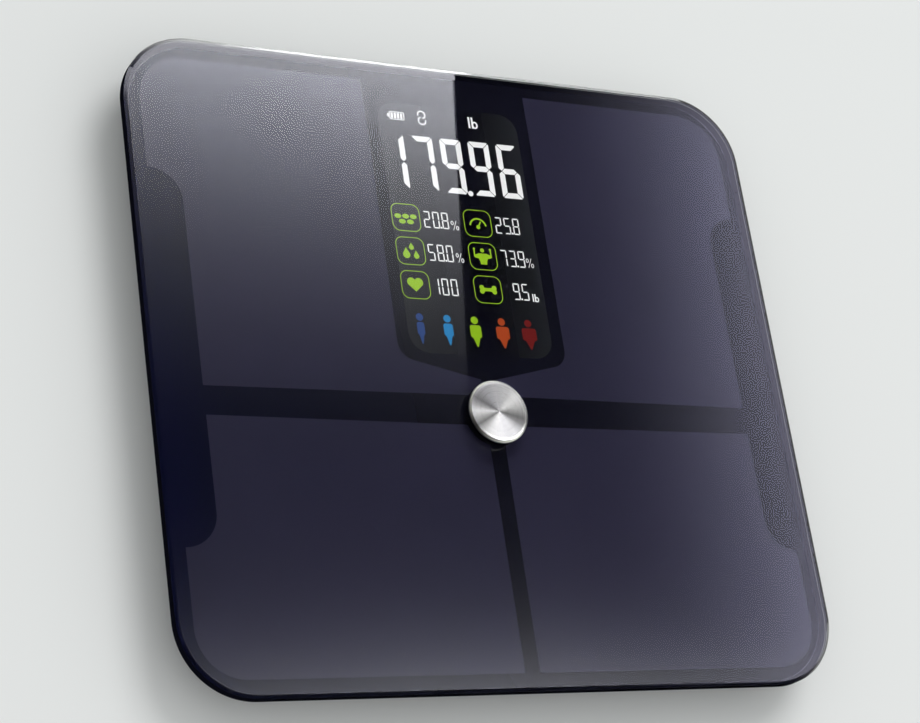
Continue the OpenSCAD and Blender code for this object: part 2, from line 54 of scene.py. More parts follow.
CAP_LO, CAP_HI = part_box("button_cap")
BUTTON = ((CAP_LO.x + CAP_HI.x) / 2, (CAP_LO.y + CAP_HI.y) / 2)
CORNER_R = 31 * MM          # corners of the glass
HOLE_R = 6.5 * MM           # bore for the button's stem
VIEW_INSET = 2 * MM         # the display cell reaches this far under the print
VIEW_R = 9 * MM             # corners of the window in the print
# levels of the printed layers, sunk a little into the underside of the glass
LAYER = 0.02 * MM
FACE_Z = GLASS_LO.z + LAYER
PRINT_Z = FACE_Z + LAYER
LIT_Z = PRINT_Z + LAYER / 2
TINT_Z = PRINT_Z + LAYER


# ---------- materials ----------

class Nodes:
    """A small helper that builds one procedural material."""

    def __init__(self, name):
        self.mat = bpy.data.materials.new(name)
        self.mat.use_nodes = True
        self.tree = self.mat.node_tree
        self.out = self.tree.nodes["Material Output"]
        self.bsdf = self.tree.nodes["Principled BSDF"]

    def add(self, kind, **settings):
        node = self.tree.nodes.new(kind)
        for key, value in settings.items():
            setattr(node, key, value)
        return node

    def link(self, a, b):
        self.tree.links.new(a, b)

    def set(self, **values):
        for key, value in values.items():
            self.bsdf.inputs[key.replace("_", " ")].default_value = value

    def coords(self, scale=(1, 1, 1)):
        tex = self.add("ShaderNodeTexCoord")
        mapping = self.add("ShaderNodeMapping")
        mapping.inputs["Scale"].default_value = scale
        self.link(tex.outputs["Object"], mapping.inputs["Vector"])
        return mapping.outputs["Vector"]

    def place(self, scale=(1, 1, 1)):
        """The X, Y and Z of the shaded point, in the object's own frame."""
        split = self.add("ShaderNodeSeparateXYZ")
        self.link(self.coords(scale), split.inputs[0])
        return split.outputs

    def noise(self, size, detail=3.0):
        """Noise whose grains are about size metres across."""
        node = self.add("ShaderNodeTexNoise")
        node.inputs["Scale"].default_value = 1 / size
        node.inputs["Detail"].default_value = detail
        self.link(self.coords(), node.inputs["Vector"])
        return node.outputs["Fac"]

    def ramp(self, fac, stops):
        node = self.add("ShaderNodeValToRGB")
        elements = node.color_ramp.elements
        while len(elements) < len(stops):
            elements.new(0.5)
        for element, (at, colour) in zip(elements, stops):
            element.position = at
            element.color = (*colour, 1)
        self.link(fac, node.inputs["Fac"])
        return node.outputs["Color"]

    def maths(self, operation, a, b=None, plus=None):
        """One step of arithmetic; plus is the third value of MULTIPLY_ADD."""
        node = self.add("ShaderNodeMath", operation=operation)
        for socket, value in zip(node.inputs, (a, b, plus)):
            if value is None:
                continue
            if isinstance(value, (int, float)):
                socket.default_value = value
            else:
                self.link(value, socket)
        return node.outputs[0]

    def roughness(self, height, low, high):
        """Roughness that goes from low to high with the height of a noise."""
        self.link(self.ramp(height, [(0.3, (low,) * 3), (0.7, (high,) * 3)]), self.bsdf.inputs["Roughness"])

    def bump(self, height, depth, strength):
        node = self.add("ShaderNodeBump")
        node.inputs["Strength"].default_value = strength
        node.inputs["Distance"].default_value = depth
        self.link(height, node.inputs["Height"])
        self.link(node.outputs["Normal"], self.bsdf.inputs["Normal"])


def shade(colour, k):
    """The colour made k times as bright."""
    return tuple(min(1.0, c * k) for c in colour)


def plastic(name, colour, roughness, grain=0.6 * MM, depth=0.03 * MM, vary=0.12):
    """Moulded plastic: fine spark-eroded grain, slight unevenness of colour and gloss."""
    m = Nodes(name)
    m.link(m.ramp(m.noise(35 * MM, 4), [(0.3, shade(colour, 1 - vary)), (0.7, shade(colour, 1 + vary))]),
           m.bsdf.inputs["Base Color"])
    m.roughness(m.noise(9 * MM, 3), roughness * 0.85, roughness * 1.15)
    m.bump(m.noise(grain, 2), depth, 0.6)
    return m.mat


def metal(name, colour, roughness):
    """Plated metal with a fine grain and slightly cloudy colour."""
    grain = 0.3 * MM
    m = Nodes(name)
    m.link(m.ramp(m.noise(6 * MM, 4), [(0.3, shade(colour, 0.85)), (0.75, colour)]),
           m.bsdf.inputs["Base Color"])
    m.roughness(m.noise(grain, 3), roughness * 0.8, roughness * 1.2)
    m.bump(m.noise(grain, 3), 0.01 * MM, 0.4)
    m.set(Metallic=1.0)
    return m.mat


def printed(name, colour, vary=0.05):
    """Ink on the glass: what the plate mirrors overhead is mirrored where the ink meets the glass."""
    m = Nodes(name)
    m.link(m.ramp(m.noise(60 * MM, 3), [(0.3, shade(colour, 1 - vary)), (0.7, shade(colour, 1 + vary))]),
           m.bsdf.inputs["Base Color"])
    mirror_gloss(m)
    return m.mat


def black_ink_with_painted_cast(name, level):
    """Black with a painted blue cast of light that grows towards the left side; level is the strength of its
    mirror image.
    """
    m = Nodes(name)
    across = m.maths("DIVIDE", m.maths("SUBTRACT", m.place()["X"], GLASS_LO.x), GLASS_HI.x - GLASS_LO.x)
    across = m.maths("ADD", across, m.maths("MULTIPLY", m.noise(30 * MM, 2), 0.02))
    # painted light: the ink turns bluer towards the left side of the plate
    bluest, bluish = (0.0070, 0.0083, 0.029), (0.0077, 0.0091, 0.0212)
    m.link(m.ramp(across, [(0.01, bluest), (0.11, bluish), (0.4, BLACK_INK)]), m.bsdf.inputs["Base Color"])
    mirror_gloss(m, level)
    return m.mat


def mirror_gloss(m, level=0.5):
    """A surface that mirrors almost sharply."""
    m.roughness(m.noise(40 * MM, 2), 0.0, 0.012)
    m.set(Specular_IOR_Level=level)


def clear_glass(name, tint=(1, 1, 1, 1)):
    """The tint is that of the mirror image seen straight on."""
    m = Nodes(name)
    m.link(m.ramp(m.noise(90 * MM, 2), [(0.3, (0.955, 0.985, 0.975)), (0.7, (0.99, 1.0, 0.995))]),
           m.bsdf.inputs["Base Color"])
    m.set(Transmission_Weight=1.0, IOR=1.5, Roughness=0.0, Specular_Tint=tint)
    return m.mat


def display_face():
    """The display behind its window: near black, with painted light that makes it greyer towards its left and
    right edges.
    """
    m = Nodes("display_glass")
    across = m.maths("MULTIPLY_ADD", m.place()["X"], 1 / (CELL_HI.x - CELL_LO.x), 0.5)
    dark, light = (0.0058, 0.0056, 0.011), (0.0252, 0.027, 0.030)
    # painted light: the colour is lighter grey towards the left and right edges
    glow = m.ramp(across, [(0.0, light), (0.12, shade(light, 0.75)), (0.55, dark), (0.8, shade(light, 0.6)),
                           (1.0, shade(light, 1.1))])
    m.link(glow, m.bsdf.inputs["Base Color"])
    mirror_gloss(m)
    return m.mat


def lit(name, colour, strength):
    """A lit segment of the display, with a faint unevenness of the light behind it."""
    m = Nodes(name)
    m.link(m.ramp(m.noise(5 * MM, 2), [(0.3, shade(colour, 0.94)), (0.7, colour)]),
           m.bsdf.inputs["Emission Color"])
    m.link(m.ramp(m.noise(5 * MM, 2), [(0.3, shade(colour, 0.05)), (0.7, shade(colour, 0.06))]),
           m.bsdf.inputs["Base Color"])
    mirror_gloss(m)
    m.set(Emission_Strength=strength)
    return m.mat


def turned_steel():
    """Steel faced on a lathe: rings of fine grooves that spread each highlight, and wedges of painted
    highlight and shade in its colour by the angle round the centre.
    """
    m = Nodes("turned_steel")
    place = m.place()
    x, y = place["X"], place["Y"]
    angle = m.maths("ARCTAN2", y, x)
    turn = m.maths("MULTIPLY_ADD", angle, 1 / (2 * math.pi), 0.5)
    # painted highlight and shade round the centre: one turn, starting at the left and going round by the
    # bottom
    painted_highlight_wedges = m.ramp(turn, [(at, shade(STEEL, k)) for at, k in (
        (0.0, 0.46), (0.042, 0.22), (0.083, 0.09), (0.125, 0.27), (0.19, 0.66), (0.25, 1.0), (0.34, 1.0),
        (0.375, 0.69), (0.417, 0.25), (0.458, 0.12), (0.53, 0.22), (0.6, 0.34), (0.67, 0.36), (0.76, 0.5),
        (0.84, 0.37), (0.917, 0.15), (0.96, 0.27), (1.0, 0.46))])
    m.link(painted_highlight_wedges, m.bsdf.inputs["Base Color"])
    radius = m.maths("SQRT", m.maths("ADD", m.maths("MULTIPLY", x, x), m.maths("MULTIPLY", y, y)))
    rings = m.add("ShaderNodeTexNoise", noise_dimensions="1D")
    groove = 0.12 * MM
    rings.inputs["Scale"].default_value = 1 / groove
    rings.inputs["Detail"].default_value = 4
    m.link(radius, rings.inputs["W"])
    m.roughness(rings.outputs["Fac"], 0.26, 0.4)
    m.bump(rings.outputs["Fac"], 0.006 * MM, 0.5)
    tangent = m.add("ShaderNodeTangent", direction_type="RADIAL", axis="Z")
    m.link(tangent.outputs["Tangent"], m.bsdf.inputs["Tangent"])
    m.set(Metallic=1.0, Anisotropic=0.6)
    return m.mat


def battery_skin():
    """A printed sleeve: copper-coloured band at one end of a dark jacket, steel nub."""
    m = Nodes("battery_skin")
    lo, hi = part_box("battery_1")
    along = m.maths("DIVIDE", m.maths("SUBTRACT", m.place()["Y"], lo.y), hi.y - lo.y)
    sleeve = m.ramp(along, [(0.0, (0.45, 0.2, 0.08)), (0.3, (0.5, 0.23, 0.09)), (0.32, (0.02, 0.02, 0.022)),
                            (0.96, (0.025, 0.025, 0.027)), (0.98, (0.6, 0.6, 0.6))])
    m.link(sleeve, m.bsdf.inputs["Base Color"])
    m.roughness(m.noise(4 * MM), 0.25, 0.35)
    m.set(Metallic=0.3)
    return m.mat


STEEL = (1.0, 1.0, 0.88)
BLACK_INK = (0.0092, 0.0094, 0.0165)
PANEL_INK = (0.0354, 0.0338, 0.0614)
MATERIALS = {
    "clear_glass": clear_glass("clear_glass"),
    "black_print": black_ink_with_painted_cast("black_print", 0.42),
    "conductive_coating": printed("conductive_coating", PANEL_INK, 0.03),
    "display_glass": display_face(),
    "turned_steel": turned_steel(),
    "battery_skin": battery_skin(),
    "copper_foil": metal("copper_foil", (0.72, 0.38, 0.22), 0.3),
    "foam": plastic("foam", (0.015, 0.015, 0.016), 0.9, 0.35 * MM, 0.15 * MM, 0.25),
    "tray_plastic": plastic("tray_plastic", (0.022, 0.023, 0.026), 0.45),
    "light_guide": plastic("light_guide", (0.78, 0.8, 0.82), 0.3, 0.5 * MM, 0.01 * MM, 0.03),
    "grey_plastic": plastic("grey_plastic", (0.05, 0.05, 0.055), 0.5),
    "ribbon_film": plastic("ribbon_film", (0.5, 0.2, 0.03), 0.35, 0.8 * MM, 0.02 * MM, 0.1),
    "board_green": plastic("board_green", (0.01, 0.1, 0.04), 0.35, 0.5 * MM, 0.02 * MM, 0.2),
    "chip_black": plastic("chip_black", (0.02, 0.02, 0.022), 0.55),
    "white_plastic": plastic("white_plastic", (0.72, 0.71, 0.68), 0.45, vary=0.04),
    "zinc_steel": metal("zinc_steel", (0.62, 0.64, 0.66), 0.33),
    "spring_wire": metal("spring_wire", (0.66, 0.66, 0.66), 0.25),
    "pin_plastic": plastic("pin_plastic", (0.35, 0.22, 0.1), 0.5),
    "light_plastic": plastic("light_plastic", (0.42, 0.42, 0.43), 0.42, vary=0.06),
    "red_lead": plastic("red_lead", (0.4, 0.02, 0.015), 0.4, 0.5 * MM, 0.02 * MM, 0.1),
    "foot_plastic": plastic("foot_plastic", (0.032, 0.033, 0.036), 0.4),
    "foot_rubber": plastic("foot_rubber", (0.02, 0.02, 0.02), 0.8, 0.4 * MM, 0.08 * MM, 0.2),
}

for part in frame["record"]["subparts"]:
    carried = frame["nodes"][part["node"]]
    carried.data.materials.clear()
    carried.data.materials.append(MATERIALS[part["material_slot"]])


# ---------- meshes ----------

FLAT_NORMAL = 0.9999        # faces that look straight up or down stay flat shaded
CORNER_STEPS = 28
HOLE_STEPS = 64
CAP_STEPS = 128


def finish_piece(name, bm, material, body="platform", replaces=(), smooth=None, origin=None):
    bmesh.ops.recalc_face_normals(bm, faces=bm.faces)
    if origin is not None:
        bmesh.ops.translate(bm, verts=bm.verts, vec=-Vector(origin))
    mesh = bpy.data.meshes.new(name)
    bm.to_mesh(mesh)
    bm.free()
    mesh.materials.append(material)
    if smooth is not None:
        mesh.shade_smooth()
        mesh.set_sharp_from_angle(angle=math.radians(smooth))
        for face in mesh.polygons:
            if abs(face.normal.z) > FLAT_NORMAL:
                face.use_smooth = False
    piece = bpy.data.objects.new(name, mesh)
    bpy.context.collection.objects.link(piece)
    if origin is not None:
        piece.location = origin
    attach(piece, body)
    if replaces:
        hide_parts(*replaces)
    return piece


def arc(cx, cy, r, start, end, steps):
    return [(cx + r * math.cos(math.radians(start + (end - start) * i / steps)),
             cy + r * math.sin(math.radians(start + (end - start) * i / steps))) for i in range(steps + 1)]


def ring_of(cx, cy, r, steps=32):
    return arc(cx, cy, r, 0, 360, steps)[:-1]


def ellipse(cx, cy, rx, ry, steps=32):
    return [(cx + (x - cx) * rx, cy + (y - cy) * ry) for x, y in ring_of(cx, cy, 1.0, steps)]


def round_rect(cx, cy, w, d, r, steps=8):
    points = []
    for start, sx, sy in ((0, 1, 1), (90, -1, 1), (180, -1, -1), (270, 1, -1)):
        points += arc(cx + sx * (w / 2 - r), cy + sy * (d / 2 - r), r, start, start + 90, steps)
    return points


def cap(bm, loops, slot=0):
    """Closes a level of a solid: the first loop is the outline and the others are holes."""
    flat = [v for loop in loops for v in loop]
    for a, b, c in tessellate_polygon([[Vector((v.co.x, v.co.y, 0)) for v in loop] for loop in loops]):
        bm.faces.new((flat[a], flat[b], flat[c])).material_index = slot


def wall(bm, low, high, slot=0):
    for i in range(len(low)):
        j = (i + 1) % len(low)
        bm.faces.new((low[i], low[j], high[j], high[i])).material_index = slot


def ring_verts(bm, loop, z):
    return [bm.verts.new((x, y, z)) for x, y in loop]


def add_prism(bm, outline, z0, z1, holes=()):
    low = [ring_verts(bm, loop, z0) for loop in (outline, *holes)]
    high = [ring_verts(bm, loop, z1) for loop in (outline, *holes)]
    cap(bm, low)
    cap(bm, high)
    for a, b in zip(low, high):
        wall(bm, a, b)


def mm_prism(bm, outline, holes=()):
    """A lit shape of the display, given in millimetres."""
    def scaled(loop):
        return [(x * MM, y * MM) for x, y in loop]
    add_prism(bm, scaled(outline), FACE_Z - LAYER, LIT_Z, [scaled(h) for h in holes])


# ---------- glass ----------

# material slots of the glass plate
FLAT_SLOT, EDGE_SLOT, RIM_SLOT = 1, 2, 3

# The mirror image overhead is carried by the ink inside these insets (left, right, heel, toe) and by the
# top of the glass outside them, where the image in the ink would leave through the side of the plate.
CLEAR_INSETS = (1.7, 6.0, 1.7, 5.0)
GLOSS_INSETS = (2.95, 3.8, 2.4, 3.3)


def inset_rect(left, right, below, above):
    """The outline of the plate drawn in by a distance on each side, in millimetres."""
    x0, x1 = GLASS_LO.x + left * MM, GLASS_HI.x - right * MM
    y0, y1 = GLASS_LO.y + below * MM, GLASS_HI.y - above * MM
    return round_rect((x0 + x1) / 2, (y0 + y1) / 2, x1 - x0, y1 - y0, CORNER_R - min(left, below) * MM,
                      CORNER_STEPS)


def build_glass():
    bm = bmesh.new()
    cx, cy = (GLASS_LO.x + GLASS_HI.x) / 2, (GLASS_LO.y + GLASS_HI.y) / 2
    w, d = GLASS_HI.x - GLASS_LO.x, GLASS_HI.y - GLASS_LO.y
    bevel, drop_in, low_bevel, soft = 1.5 * MM, 0.5 * MM, 0.4 * MM, 0.12 * MM
    levels = [(low_bevel, GLASS_LO.z), (0, GLASS_LO.z + low_bevel), (0, GLASS_HI.z - drop_in - 2 * soft),
              (soft * 0.35, GLASS_HI.z - drop_in - soft * 0.7), (soft * 1.3, GLASS_HI.z - drop_in),
              (bevel, GLASS_HI.z)]
    rings = [ring_verts(bm, round_rect(cx, cy, w - 2 * i, d - 2 * i, CORNER_R - i, CORNER_STEPS), z)
             for i, z in levels]
    below_bevel = 3
    for i, (low, high) in enumerate(zip(rings, rings[1:])):
        wall(bm, low, high, EDGE_SLOT if i < below_bevel else 0)
    hole = [ring_verts(bm, ring_of(*BUTTON, HOLE_R, HOLE_STEPS), z) for z in (GLASS_LO.z, GLASS_HI.z)]
    wall(bm, *hole)
    clear_area = ring_verts(bm, inset_rect(*CLEAR_INSETS), GLASS_HI.z)
    cap(bm, [rings[0], hole[0]], FLAT_SLOT)
    cap(bm, [rings[-1], clear_area], RIM_SLOT)
    cap(bm, [clear_area, hole[1]], FLAT_SLOT)
    plate = finish_piece("glass_plate", bm, MATERIALS["clear_glass"],
                         replaces=["glass_platform"], smooth=12)
    plate.data.materials.append(clear_glass("clear_glass_flat", (0, 0, 0, 1)))
    plate.data.materials.append(printed("edge_black", (0.004, 0.0042, 0.008)))
    plate.data.materials.append(clear_glass("clear_glass_rim", (0.92, 0.92, 0.92, 1)))


def build_film():
    bm = bmesh.new()
    cx, cy = (FILM_LO.x + FILM_HI.x) / 2, (FILM_LO.y + FILM_HI.y) / 2
    w, d = FILM_HI.x - FILM_LO.x, FILM_HI.y - FILM_LO.y
    view_w = CELL_HI.x - CELL_LO.x - 2 * VIEW_INSET
    view_d = CELL_HI.y - CELL_LO.y - 2 * VIEW_INSET
    view = round_rect((CELL_LO.x + CELL_HI.x) / 2, (CELL_LO.y + CELL_HI.y) / 2, view_w, view_d, VIEW_R, 16)
    margin = FILM_LO.x - GLASS_LO.x
    loops = [round_rect(cx, cy, w, d, CORNER_R - margin, CORNER_STEPS), view,
             ring_of(*BUTTON, HOLE_R, HOLE_STEPS)]
    low = [ring_verts(bm, loop, FILM_LO.z) for loop in loops]
    high = [ring_verts(bm, loop, PRINT_Z) for loop in loops]
    glossy = ring_verts(bm, inset_rect(*GLOSS_INSETS), PRINT_Z)
    cap(bm, low)
    cap(bm, [high[0], glossy], 1)
    cap(bm, [glossy, *high[1:]])
    for a, b in zip(low, high):
        wall(bm, a, b)
    film = finish_piece("black_print_layer", bm, MATERIALS["black_print"],
                        replaces=["print_film"])
    film.data.materials.append(black_ink_with_painted_cast("black_print_rim", 0.0))
    bm = bmesh.new()
    corners = [(CELL_LO.x, CELL_LO.y), (CELL_HI.x, CELL_LO.y), (CELL_HI.x, CELL_HI.y), (CELL_LO.x, CELL_HI.y)]
    add_prism(bm, corners, CELL_LO.z, FACE_Z)
    finish_piece("display_window", bm, MATERIALS["display_glass"],
                 replaces=["display_cell"])


def build_panels():
    """The tinted print under each electrode: the coating's outline, with a wider gap round the button."""
    coating_r, print_r, near = 12.5 * MM, 13.5 * MM, 0.2 * MM
    for corner in ("toe_left", "toe_right", "heel_left", "heel_right"):
        node = "electrode_" + corner
        bm = bmesh.new()
        bm.from_mesh(frame["nodes"][node].data)
        bmesh.ops.remove_doubles(bm, verts=bm.verts, dist=1e-6)
        lo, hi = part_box(node)
        middle = (lo.z + hi.z) / 2
        centre = Vector(BUTTON)
        for v in bm.verts:
            v.co.z = TINT_Z if v.co.z > middle else FILM_HI.z
            out = v.co.xy - centre
            if out.length < coating_r + near:
                v.co.xy = centre + out.normalized() * print_r
        finish_piece("tinted_panel_" + corner, bm, MATERIALS["conductive_coating"],
                     replaces=[node])


# ---------- display ----------

SEGMENTS = {"0": "abcdef", "1": "bc", "2": "abged", "3": "abgcd", "5": "afgcd", "6": "afgedc",
            "7": "abc", "8": "abcdefg", "9": "abcdfg"}


def add_digit(bm, char, cx, cy, w, h, t, gap):
    """A seven-segment digit with mitred corners: width, height, thickness of a segment, gap between two."""
    c = 0.3 * t             # the outer corners are cut by this much
    x, y = w / 2, h / 2
    across = [(-x + gap + c, y), (x - gap - c, y), (x - gap - c / 2, y - c / 2), (x - t - gap, y - t),
              (-x + t + gap, y - t), (-x + gap + c / 2, y - c / 2)]
    upright = [(x, y - c - gap), (x - c / 2, y - c / 2 - gap), (x - t, y - t - gap), (x - t, t / 2 + gap),
               (x - t / 2, gap), (x, t / 2 + gap * 0.6)]
    middle = [(-x + t / 2 + gap, 0), (-x + t + gap, t / 2), (x - t - gap, t / 2),
              (x - t / 2 - gap, 0), (x - t - gap, -t / 2), (-x + t + gap, -t / 2)]
    shapes = {"a": (across, 1, 1), "d": (across, 1, -1), "b": (upright, 1, 1), "c": (upright, 1, -1),
              "f": (upright, -1, 1), "e": (upright, -1, -1), "g": (middle, 1, 1)}
    for name in SEGMENTS[char]:
        points, sx, sy = shapes[name]
        mm_prism(bm, [(cx + sx * px, cy + sy * py) for px, py in points])


def add_number(bm, text, cx, cy, w, h, t, pitch, dot_r):
    """A row of small digits, centred; the decimal point sits in the gap between two digits."""
    digits = text.replace(".", "")
    left = cx - pitch * (len(digits) - 1) / 2
    for i, char in enumerate(digits):
        add_digit(bm, char, left + i * pitch, cy, w, h, t, 0.12)
    if "." in text:
        at = text.index(".") - 0.5
        mm_prism(bm, ring_of(left + at * pitch, cy - h / 2 + dot_r, dot_r, 12))


def add_percent(bm, cx, cy):
    """A percent sign: two small rings and a slanting bar."""
    off, half_h = 1.15, 2.2
    for side in (-1, 1):
        at = (cx + side * off, cy - side * off)
        mm_prism(bm, ellipse(*at, 0.7, 1.0, 20), [ellipse(*at, 0.38, 0.67, 20)])
    mm_prism(bm, [(cx - 1.0, cy - half_h), (cx - 0.72, cy - half_h),
                  (cx + 1.0, cy + half_h), (cx + 0.72, cy + half_h)])


def add_unit(bm, x, y, h):
    """The unit of weight, in plain letters of height h with their lower left corner at x, y."""
    t = h * 0.165
    mm_prism(bm, [(x, y), (x + t, y), (x + t, y + h), (x, y + h)])
    stem = x + t * 1.75
    mm_prism(bm, [(stem, y), (stem + t, y), (stem + t, y + h), (stem, y + h)])
    bowl = (stem + h * 0.3, y + h * 0.31)
    rx, ry = h * 0.27, h * 0.33
    mm_prism(bm, ellipse(*bowl, rx, ry, 28), [ellipse(*bowl, rx - t * 0.85, ry - t * 0.8, 28)])


def stroke(points, width):
    """The outline of a line of the given width through the points."""
    left, right = [], []
    for i, (x, y) in enumerate(points):
        ax, ay = points[max(i - 1, 0)]
        bx, by = points[min(i + 1, len(points) - 1)]
        length = math.hypot(bx - ax, by - ay)
        nx, ny = -(by - ay) / length * width / 2, (bx - ax) / length * width / 2
        left.append((x + nx, y + ny))
        right.append((x - nx, y - ny))
    return left + right[::-1]


def build_readout():
    """Everything white on the display, with places and sizes in millimetres."""
    bm = bmesh.new()
    pitch, first, middle_y = 13.9, -28.55, 92.9
    for i, char in enumerate("17996"):
        add_digit(bm, char, first + i * pitch, middle_y, w=10.3, h=26.0, t=2.6, gap=0.2)
    point_x, point_y, point_r = 5.8, 80.5, 1.25
    mm_prism(bm, ring_of(point_x, point_y, point_r, 24))
    small = dict(w=3.15, h=7.7, t=0.56, pitch=4.35, dot_r=0.45)
    for text, x, y in (("20.8", -13.3, 66.35), ("25.8", 21.5, 66.35), ("58.0", -13.4, 51.0),
                       ("73.9", 21.6, 50.9), ("100", -13.6, 35.4), ("9.5", 23.1, 35.5)):
        add_number(bm, text, x, y, **small)
    for x, y in ((-4.5, 64.5), (-4.4, 49.4), (29.9, 49.4)):
        add_percent(bm, x, y)
    add_unit(bm, 10.0, 112.5, 5.4)
    add_unit(bm, 28.4, 31.3, 3.6)
    # battery level: a case with its nub on the left and four bars
    case_x, case_y, case_w, case_h, line = -25.0, 114.75, 7.2, 3.9, 0.4
    mm_prism(bm, round_rect(case_x, case_y, case_w, case_h, 0.5, 4),
             [round_rect(case_x, case_y, case_w - 2 * line, case_h - 2 * line, 0.25, 4)])
    mm_prism(bm, round_rect(case_x - 4.15, case_y, 0.9, 1.7, 0.3, 4))
    for i in range(4):
        mm_prism(bm, round_rect(case_x - 2.35 + i * 1.5, case_y, 1.05, 2.5, 0.1, 2))
    # two open links that hook into each other, for a paired device
    link = (-12.9, 115.0)
    for turn in (1, -1):
        hook = arc(0, 1.45, 1.75, -78, 198, 24)
        mm_prism(bm, stroke([(link[0] + turn * hx, link[1] + turn * hy) for hx, hy in hook], 0.6))
    finish_piece("readout_figures", bm, lit("readout_light", (1.0, 1.0, 1.0), 0.86))


def drop(cx, bottom, r, h):
    """A drop with its point up."""
    a = math.degrees(math.asin(min(0.99, r / (h - r))))
    return arc(cx, bottom + r, r, 180 - a, 360 + a, 20) + [(cx, bottom + h)]


def heart(cx, bottom, w, h):
    r = w * 0.27
    top = bottom + h - r
    left = arc(cx - w / 2 + r, top, r, 30, 215, 14)
    right = arc(cx + w / 2 - r, top, r, -35, 150, 14)
    return [(cx, bottom)] + right + left


def build_icons():
    """The six green pictograms in their frames, with places and sizes in millimetres."""
    bm = bmesh.new()
    frame_w, frame_h, line = 13.5, 12.8, 0.33
    for cx in (-27.65, 6.95):
        for cy in (66.4, 50.95, 35.5):
            mm_prism(bm, round_rect(cx, cy, frame_w, frame_h, 3.4, 8),
                     [round_rect(cx, cy, frame_w - 2 * line, frame_h - 2 * line, 3.08, 8)])
    for x, y in ((-31.4, 66.95), (-27.7, 67.0), (-24.1, 67.0), (-29.6, 64.5), (-25.8, 64.5)):
        mm_prism(bm, ellipse(x, y, 1.62, 1.1, 24))
    mm_prism(bm, drop(-29.8, 47.5, 1.7, 5.0))
    mm_prism(bm, drop(-27.1, 51.5, 1.15, 3.3))
    mm_prism(bm, drop(-25.2, 47.5, 1.25, 3.8))
    mm_prism(bm, heart(-27.7, 32.4, 7.5, 6.3))
    # a dial with its pointer
    dial = (6.95, 64.7)
    mm_prism(bm, stroke(arc(*dial, 3.9, 10, 170, 24), 0.75))
    mm_prism(bm, ring_of(*dial, 0.95, 20))
    mm_prism(bm, stroke([(dial[0], dial[1]), (dial[0] + 1.5, dial[1] + 2.7)], 0.6))
    # a flexed torso: head, chest tapering to the waist, two raised forearms
    mm_prism(bm, ring_of(7.0, 53.75, 0.95, 20))
    mm_prism(bm, [(5.2, 52.3), (8.8, 52.3), (11.0, 51.5), (11.4, 50.9), (10.9, 50.3), (9.2, 49.9),
                  (8.7, 48.6), (8.5, 47.2), (5.5, 47.2), (5.3, 48.6), (4.8, 49.9), (3.1, 50.3),
                  (2.6, 50.9), (3.0, 51.5)])
    for s in (-1, 1):
        mm_prism(bm, stroke([(7.0 + s * 4.0, 51.0), (7.0 + s * 3.95, 54.3)], 0.6))
        mm_prism(bm, ring_of(7.0 + s * 3.9, 54.3, 0.52, 16))
    # a bone
    mm_prism(bm, [(4.0, 36.5), (7.0, 36.2), (10.0, 36.5), (10.0, 34.5), (7.0, 34.8), (4.0, 34.5)])
    for x in (4.05, 10.0):
        for y in (36.35, 34.65):
            mm_prism(bm, ring_of(x, y, 1.15, 20))
    finish_piece("icon_outlines", bm, lit("icon_light", (0.29, 0.5, 0.022), 0.98))


def build_people():
    """Five build symbols from slim to heavy, each a head over a body that tapers to a point."""
    people = (("slim", -28.05, 3.5, (0.02, 0.05, 0.17)), ("light", -15.1, 4.4, (0.014, 0.19, 0.44)),
              ("medium", -2.1, 5.3, (0.26, 0.46, 0.016)), ("broad", 10.95, 6.3, (0.36, 0.055, 0.016)),
              ("heavy", 23.85, 7.0, (0.13, 0.012, 0.012)))
    for name, x, w, colour in people:
        bm = bmesh.new()
        mm_prism(bm, ring_of(x, 20.9, 1.72, 28))
        half, leg = w / 2, w * 0.31
        mm_prism(bm, [(x - half + 0.6, 18.7), (x + half - 0.6, 18.7), (x + half, 17.9), (x + half, 13.6),
                      (x + half - 0.5, 13.1), (x + leg, 12.9), (x + 0.25, 8.9), (x - 0.25, 8.9),
                      (x - leg, 12.9), (x - half + 0.5, 13.1), (x - half, 13.6), (x - half, 17.9)])
        light = lit("symbol_light_" + name, colour, 0.95)
        finish_piece("build_symbol_" + name, bm, light)


# ---------- centre button ----------

def build_cap():
    bm = bmesh.new()
    r = (CAP_HI.x - CAP_LO.x) / 2
    z0, z1 = CAP_LO.z, CAP_HI.z
    # the rim in section: how far in from the outer radius, and how far up from below or down from above
    low_rim = ((0.5, 0), (0.15, 0.12), (0, 0.45))
    high_rim = ((0, 0.75), (0.05, 0.62), (0.6, 0.06), (0.72, 0), (1.1, 0), (1.25, 0.04))
    section = [(r - inward * MM, z0 + up * MM) for inward, up in low_rim]
    section += [(r - inward * MM, z1 - down * MM) for inward, down in high_rim]
    # the shallow cone of the face inside the rim
    (face_r, face_z), face_depth, steps = section[-1], 0.2 * MM, 14
    for i in range(1, steps):
        k = 1 - i / steps
        section.append((face_r * k, face_z - face_depth * (1 - k)))
    rings = [ring_verts(bm, ring_of(*BUTTON, radius, CAP_STEPS), z) for radius, z in section]
    for low, high in zip(rings, rings[1:]):
        wall(bm, low, high)
    cap(bm, [rings[0]])
    tip = bm.verts.new((*BUTTON, face_z - face_depth))
    for i, v in enumerate(rings[-1]):
        bm.faces.new((v, rings[-1][(i + 1) % len(rings[-1])], tip))
    finish_piece("steel_cap", bm, MATERIALS["turned_steel"], body="centre_button",
                 replaces=["button_cap"], smooth=24, origin=(*BUTTON, z0))


build_glass()
build_film()
build_panels()
build_readout()
build_icons()
build_people()
build_cap()


# ---------- stage, light and camera ----------

